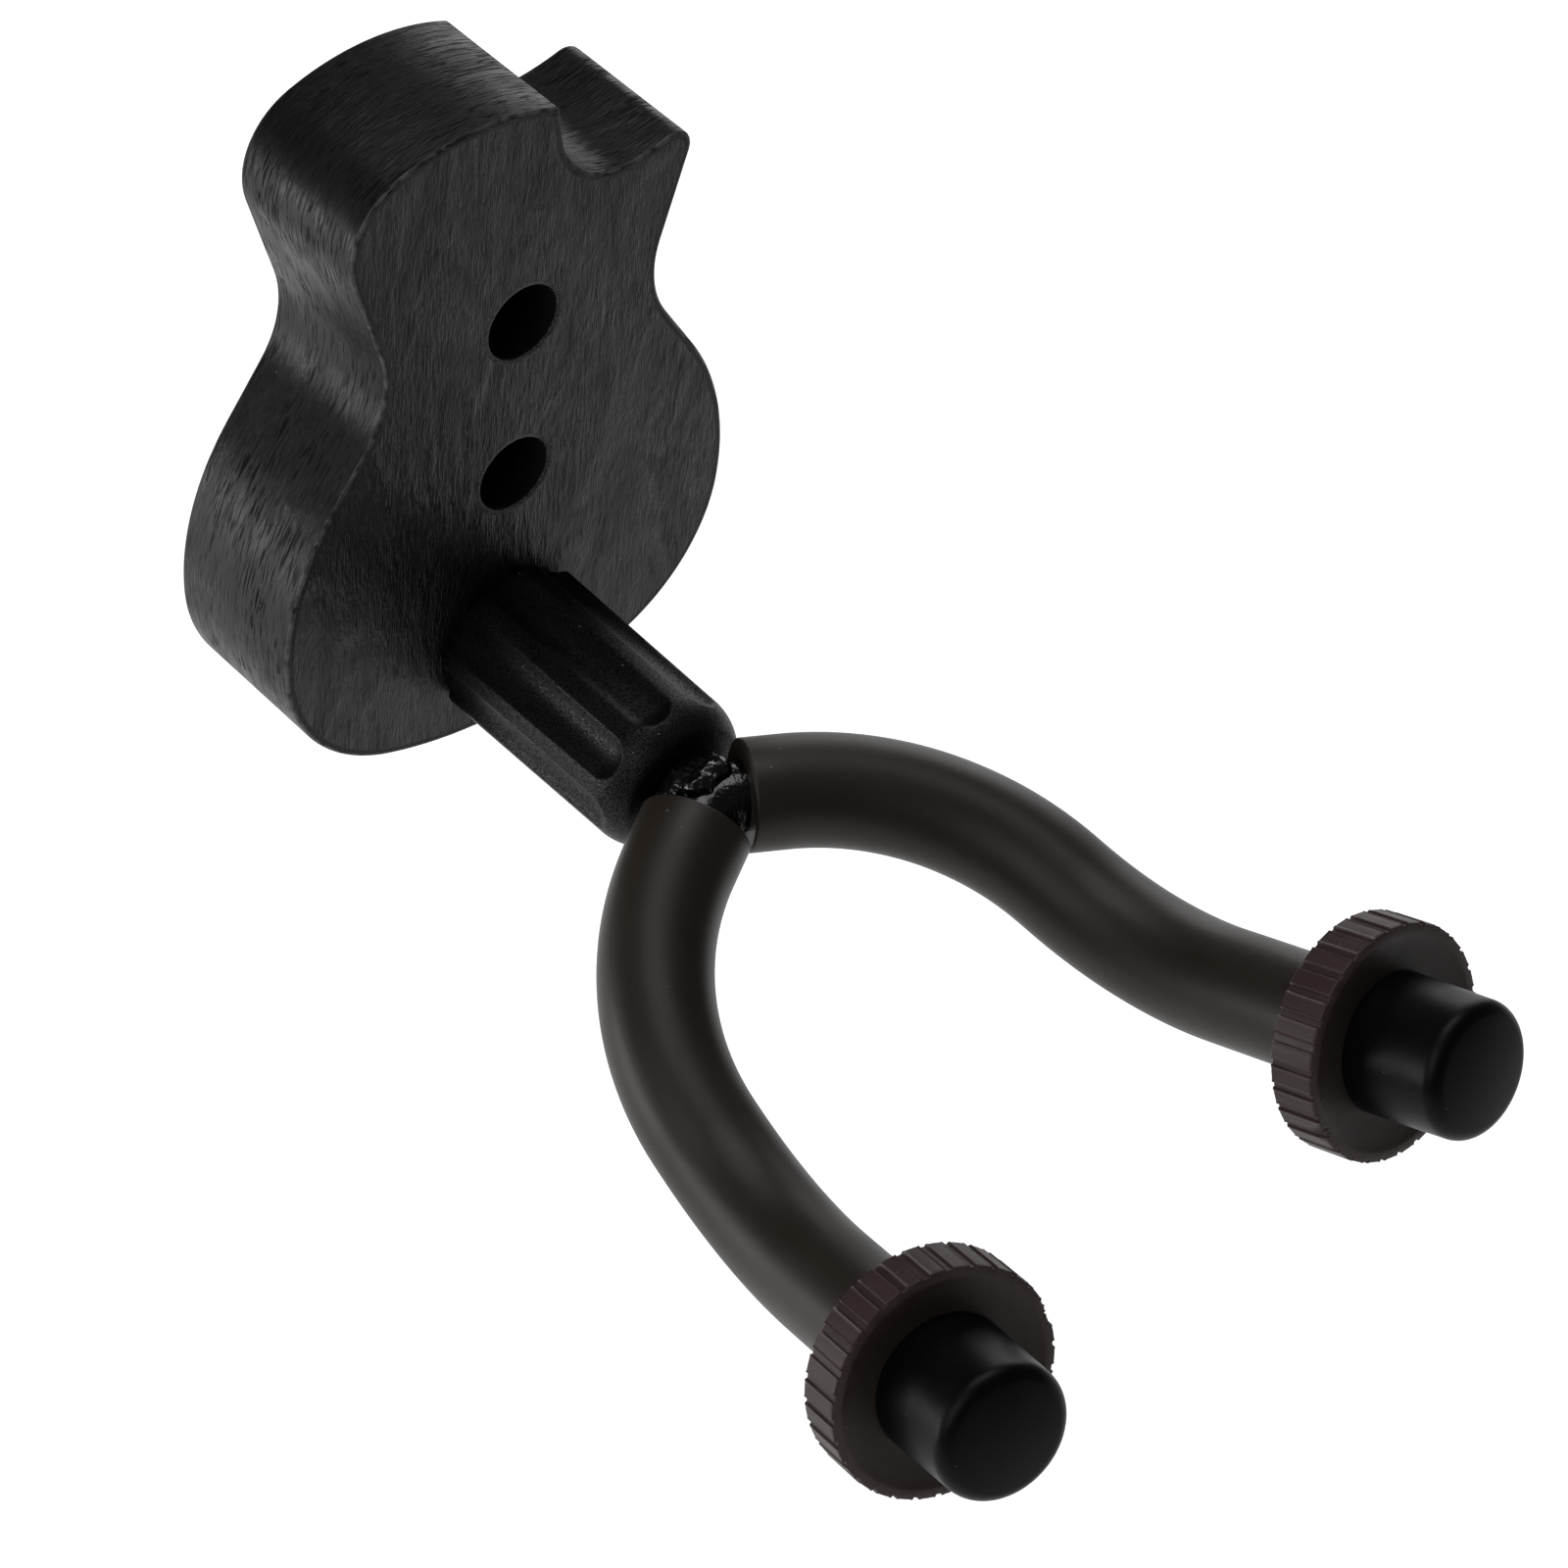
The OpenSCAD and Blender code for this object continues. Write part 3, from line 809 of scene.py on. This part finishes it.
def pivot_bolt(material):
    """Hexagonal head and plain shank, its far end slightly pointed."""
    low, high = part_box("pivot_bolt")
    head_out = -low.y - HEAD_H
    shank = high.y + head_out
    to_world = bolt_frame(head_out)
    bm = bmesh.new()
    rings = hex_prism(bm, HEAD_H, -HEAD_TURN, to_world, BOLT_R, True)
    close_ring(bm, rings[-1], Vector((0, 0, HEAD_H)), to_world)
    point = 0.0004
    profile = ((BOLT_R, 0), (BOLT_R, -shank + point), (BOLT_R - point, -shank))
    stem = add_loft(bm, [circle(r, h, HEX_ROUND) for r, h in profile], to_world)
    close_ring(bm, stem[-1], Vector((0, 0, -shank)), to_world)
    bmesh.ops.remove_doubles(bm, verts=bm.verts, dist=MERGE_GAP)
    finish_piece(bm, "bolt", "pivot_bolt", "yoke", material, sharp=25)


# ---------------------------------------------------------------- yoke

def arm_corners(side):
    """Corners of one arm in the yoke's frame. side is 1 for the right arm and -1 for the left."""
    corners = (ARM_ROOT, ARM_KNEE, ARM_DIP, ARM_TIP)
    return [Vector((side * sideways, -out, up)) for sideways, out, up in corners]


def tip_direction(side):
    """Unit vector along the straight end of an arm."""
    corners = arm_corners(side)
    return (corners[3] - corners[2]).normalized()


def bend(a, b, c, radius, steps=28):
    """Arc of the radius that rounds the corner b between a and c."""
    ua, uc = (a - b).normalized(), (c - b).normalized()
    half = ua.angle(uc) / 2
    centre = b + (ua + uc).normalized() * radius / math.sin(half)
    sweep = math.pi - 2 * half
    start = b + ua * radius / math.tan(half) - centre
    end = b + uc * radius / math.tan(half) - centre
    return [centre + (math.sin(sweep * (1 - k / steps)) * start + math.sin(sweep * k / steps) * end)
            / math.sin(sweep) for k in range(steps + 1)]


def hub_corner():
    """Where the rod's two arms would meet in the middle."""
    root, knee = arm_corners(1)[:2]
    along = (knee - root).normalized()
    return root - along * root.x / along.x


def arm_line(side, first, last):
    """Centre line of one arm with its two bends, from the point first to the point last."""
    root, knee, dip, tip = arm_corners(side)
    return [first] + bend(root, knee, dip, KNEE_BEND) + bend(knee, dip, tip, DIP_BEND) + [last]


def sweep_rings(line, offsets, count):
    """Loops round the line, one for each (radius, index in line, shift along it), and the
    straightened places of their points."""
    loops, places = [], []
    run = [0.0]
    for a, b in zip(line, line[1:]):
        run.append(run[-1] + (b - a).length)
    for radius, i, shift in offsets:
        along = (line[min(i + 1, len(line) - 1)] - line[max(i - 1, 0)]).normalized()
        side = along.cross(Vector((0, 0, 1))).normalized()
        up = side.cross(along)
        turns = [2 * math.pi * k / count for k in range(count)]
        centre = line[i] + along * shift
        loops.append([centre + radius * (math.cos(a) * side + math.sin(a) * up) for a in turns])
        places.append([Vector((radius * math.cos(a), radius * math.sin(a), run[i] + shift))
                       for a in turns])
    return loops, places


def add_sweep(bm, line, offsets, to_world, count=ROUND, wrap=False):
    """Lofts the loops that sweep_rings makes."""
    loops, places = sweep_rings(line, offsets, count)
    rows = len(loops)
    return add_loft(bm, loops, to_world, lambda i, k: places[i % rows][k % count], wrap)


def rubber_tube(side, material):
    """Tube with its cut end slightly rounded and the rod's bore inside."""
    line = arm_line(side, arm_corners(side)[0], arm_corners(side)[3] - DISC_T * tip_direction(side))
    last = len(line) - 1
    soft = 0.0004
    lip = [(TUBE_R - soft + across, soft - along) for across, along in arc(soft, 90, 0, 4)]
    offsets = [(r, 0, shift) for r, shift in lip]
    offsets += [(TUBE_R, i, 0) for i in range(1, last)] + [(TUBE_R, last, 0)]
    offsets += [(TUBE_BORE_R, i, 0) for i in range(last, 0, -1)]
    offsets += [(TUBE_BORE_R, 0, soft / 2), (TUBE_BORE_R + soft / 2, 0, 0)]
    bm = bmesh.new()
    add_sweep(bm, line, offsets, yoke_frame(), wrap=True)
    name = "right_tube" if side > 0 else "left_tube"
    finish_piece(bm, name + "_skin", name, "yoke", material, sharp=50)


def yoke_rod(material):
    """One bent rod from the left cap over the bolt head to the right cap."""
    right = arm_line(1, hub_corner(), arm_corners(1)[3] + ROD_PAST_DISC * tip_direction(1))
    left = arm_line(-1, hub_corner(), arm_corners(-1)[3] + ROD_PAST_DISC * tip_direction(-1))
    hub = bend(arm_corners(-1)[1], hub_corner(), arm_corners(1)[1], HUB_BEND, 14)
    line = left[:0:-1] + hub + right[1:]
    soft = 0.0005
    last = len(line) - 1
    offsets = [(ROD_R - soft, 0, 0)] + [(ROD_R, 0, soft)] + [(ROD_R, i, 0) for i in range(1, last)]
    offsets += [(ROD_R, last, -soft), (ROD_R - soft, last, 0)]
    bm = bmesh.new()
    to_world = yoke_frame()
    rings = add_sweep(bm, line, offsets, to_world, ROD_ROUND)
    close_ring(bm, rings[0], line[0], to_world)
    close_ring(bm, rings[-1], line[-1], to_world)
    finish_piece(bm, "rod", "yoke_rod", "yoke", material, sharp=50)


def weld_relief(place, turn, seed):
    """How far the skin of a weld bead stands out: lumps, grit, ripples and a pit with a lip, left
    where the arc broke off."""
    lumps = LUMP_HEIGHT * noise.noise(place / LUMP_SIZE + Vector((0, seed, 0)))
    grit = GRIT_HEIGHT * noise.noise(place / GRIT_SIZE + Vector((seed, 0, 0)))
    ripples = RIPPLE_HEIGHT * math.sin(place.z / RIPPLE_SIZE)
    away = math.hypot((place.z - PIT_ALONG) / PIT_R, (turn - PIT_TURN) * BEAD_R / PIT_R)
    pit = -PIT_DEPTH * math.exp(-away ** 2)
    lip = PIT_LIP * math.exp(-((away - 1.5) * 2.2) ** 2)
    return lumps + grit + ripples + pit + lip


def weld_bead(up, material):
    """Uneven bead across the rod and the bolt head. up is 1 above the rod and -1 below it."""
    node = "weld_upper" if up > 0 else "weld_lower"
    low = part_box("pivot_bolt")[0]
    centre = Vector((0, low.y - BEAD_OUT, hub_corner().z + up * BEAD_RISE))
    across = Matrix.Rotation(math.radians(90), 4, "Y")
    to_world = yoke_frame() @ Matrix.Translation(centre) @ across
    rows = 60
    loops = []
    for i in range(1, rows):
        a = math.pi * (i / rows - 0.5)
        along = BEAD_HALF * max(-1.0, min(1.0, a * 2)) + BEAD_R * math.sin(a)
        loop = []
        for k in range(ROUND):
            turn = 2 * math.pi * k / ROUND
            out = Vector((math.cos(turn), math.sin(turn), 0))
            place = out * BEAD_R * math.cos(a) + Vector((0, 0, along))
            loop.append(place + out * weld_relief(place, turn, 3.0 * up) * math.cos(a))
        loops.append(loop)
    bm = bmesh.new()
    rings = add_loft(bm, loops, to_world)
    close_ring(bm, rings[0], Vector((0, 0, -BEAD_HALF - BEAD_R)), to_world)
    close_ring(bm, rings[-1], Vector((0, 0, BEAD_HALF + BEAD_R)), to_world)
    finish_piece(bm, node + "_bead", node, "yoke", material, sharp=80)


def tip_frame(side):
    """Local Z points along the arm's end, with z = 0 at the disc's front face."""
    along = tip_direction(side)
    turn = along.to_track_quat("Z", "Y").to_matrix().to_4x4()
    return yoke_frame() @ Matrix.Translation(arm_corners(side)[3]) @ turn


def land_radius(radius, angle):
    """Radius round the disc: lands with raised edges, and flat-bottomed grooves between them."""
    pitch = 360 / DISC_LANDS
    off = abs((angle + pitch / 2) % pitch - pitch / 2)
    groove = pitch * (1 - LAND_SHARE) / 2
    slope = groove * LAND_SLOPE
    if off < groove - slope:
        return radius - GROOVE_DEPTH
    if off < groove:
        return radius - GROOVE_DEPTH + (GROOVE_DEPTH + LAND_LIP) * (off - groove + slope) / slope
    fade = max(0.0, 1 - (off - groove) / (pitch * LIP_FADE))
    return radius + LAND_LIP * fade - LAND_LIP * 0.2


def tear(side, angle, height):
    """How deep a disc's torn front rim is cut away."""
    off = (angle - (RIGHT_TEAR if side > 0 else LEFT_TEAR) + 180) % 360 - 180
    along = math.radians(off) * DISC_R
    ragged = 0.7 + 0.9 * noise.noise(Vector((along / TEAR_RAG, height / TEAR_RAG, side)))
    return TEAR_DEPTH * ragged * math.exp(-(along / TEAR_R) ** 2 - (height / TEAR_R) ** 2)


def stop_disc(side, material):
    """Toothed disc with a dished front and a torn spot on its rim."""
    wall = [(DISC_R - RIM_CHAMFER, -DISC_T), (DISC_R, -DISC_T + RIM_CHAMFER),
            (DISC_R, -0.6 * DISC_T)]
    wall += [(DISC_R, -RIM_CHAMFER - TEAR_R * k / 4) for k in range(7, -1, -1)]
    wall += [(DISC_R - RIM_CHAMFER * 0.3, -RIM_CHAMFER * 0.3), (DISC_R - RIM_CHAMFER, 0)]
    face = [(DISC_R - RIM_WIDTH * 0.85, 0), (DISC_R - RIM_WIDTH, -DISH_DEPTH * 0.06),
            (DISC_R - RIM_WIDTH * 1.2, -DISH_DEPTH * 0.22),
            (DISC_R - RIM_WIDTH * 2, -DISH_DEPTH * 0.6), (CAP_R * 1.1, -DISH_DEPTH * 0.95),
            (CAP_R, -DISH_DEPTH), (ROD_R, -DISH_DEPTH), (ROD_R, -DISC_T)]
    count = DISC_LANDS * LAND_SIDES
    loops = [turned(lambda angle: land_radius(radius, angle) - tear(side, angle, height),
                    height, count) for radius, height in wall]
    loops += [circle(radius, height, count) for radius, height in face]
    bm = bmesh.new()
    to_world = tip_frame(side)
    add_loft(bm, loops, to_world, wrap=True)
    back = to_world.inverted()
    mark_edges(bm, lambda co: rim_share(back @ co))
    name = "right_disc" if side > 0 else "left_disc"
    finish_piece(bm, name + "_moulding", name, "yoke", material, sharp=30)


def rim_share(place):
    """1 on the raised edges of the lands, less on the flat rim and 0 elsewhere."""
    radius = math.hypot(place.x, place.y)
    if radius > DISC_R + LAND_LIP * 0.5:
        return 1.0
    return 0.4 if place.z > -DISH_DEPTH * 0.03 and radius > DISC_R - RIM_WIDTH else 0.0


def cap_profile():
    """Base, slightly tapered side, rounded corner and shallow dome of an end cap."""
    corner = CAP_R - CAP_TAPER - CAP_ROUND
    turn = math.radians(CAP_ROUND_TURN)
    edge = corner + CAP_ROUND * math.cos(turn)
    dome_r = (edge ** 2 + CAP_DOME ** 2) / (2 * CAP_DOME)
    height = CAP_LEN - CAP_DOME - CAP_ROUND * math.sin(turn)
    hold = 0.0003       # a loop this near a corner keeps the side's shading straight
    profile = [(ROD_R, -DISH_DEPTH), (CAP_R, -DISH_DEPTH), (CAP_R, hold), (CAP_R, CAP_STRAIGHT),
               (CAP_R - CAP_TAPER, height - hold)]
    profile += [(corner + across, height + along)
                for across, along in arc(CAP_ROUND, 0, CAP_ROUND_TURN, 12)]
    spread = math.asin(edge / dome_r)
    profile += [(dome_r * math.sin(a), CAP_LEN - dome_r * (1 - math.cos(a)))
                for a in (spread * k / 8 for k in range(7, 0, -1))]
    return profile


def end_cap(side, material):
    """Rubber cap over the rod's end."""
    bm = bmesh.new()
    to_world = tip_frame(side)
    rings = add_loft(bm, [circle(r, h, CAP_SIDES) for r, h in cap_profile()], to_world)
    close_ring(bm, rings[0], Vector((0, 0, -DISH_DEPTH)), to_world)
    close_ring(bm, rings[-1], Vector((0, 0, CAP_LEN)), to_world)
    name = "right_cap" if side > 0 else "left_cap"
    finish_piece(bm, name + "_boot", name, "yoke", material, sharp=60)


# ---------------------------------------------------------------- scene

def add_floor(material):
    """Large level sheet below the hanger."""
    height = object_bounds()[0].z - FLOOR_DROP
    bm = bmesh.new()
    layer = bm.loops.layers.float_vector.new("grain")
    near, far = -FLOOR_HALF, FLOOR_HALF
    corners = ((near, near), (far, near), (far, far), (near, far))
    face = bm.faces.new([bm.verts.new((x, y, height)) for x, y in corners])
    for corner in face.loops:
        corner[layer] = corner.vert.co
    mesh = bpy.data.meshes.new("floor")
    bm.to_mesh(mesh)
    bm.free()
    mesh.materials.append(material)
    floor = bpy.data.objects.new("floor", mesh)
    bpy.context.scene.collection.objects.link(floor)
    floor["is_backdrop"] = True


def build_pieces():
    """Every visible piece, in its own material."""
    zinc, black, rubber = zinc_steel(), black_steel(), tube_rubber()
    disc, cap = disc_rubber(), cap_rubber()
    face_wood = stained_wood("face_wood", 0.195, 0.35, 0.00014)
    side_wood = stained_wood("side_wood", 0.155, 0.85, 0.000065)
    wood_block(face_wood, side_wood, bored_wood())
    fluted_spacer(spacer_plastic())
    rear_washer(zinc)
    pivot_bolt(black)
    lock_nut(zinc)
    nut_insert(nylon())
    yoke_rod(black)
    for up in (1, -1):
        weld_bead(up, black)
    for side in (-1, 1):
        rubber_tube(side, rubber)
        stop_disc(side, disc)
        end_cap(side, cap)


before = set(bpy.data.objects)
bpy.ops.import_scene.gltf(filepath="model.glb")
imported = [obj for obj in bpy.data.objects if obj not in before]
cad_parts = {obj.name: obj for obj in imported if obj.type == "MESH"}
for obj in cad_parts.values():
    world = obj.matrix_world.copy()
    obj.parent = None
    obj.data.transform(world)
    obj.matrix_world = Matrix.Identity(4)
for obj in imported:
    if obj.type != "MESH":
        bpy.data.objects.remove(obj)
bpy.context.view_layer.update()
add_camera()
add_studio()
add_floor(glowing_floor())
build_pieces()
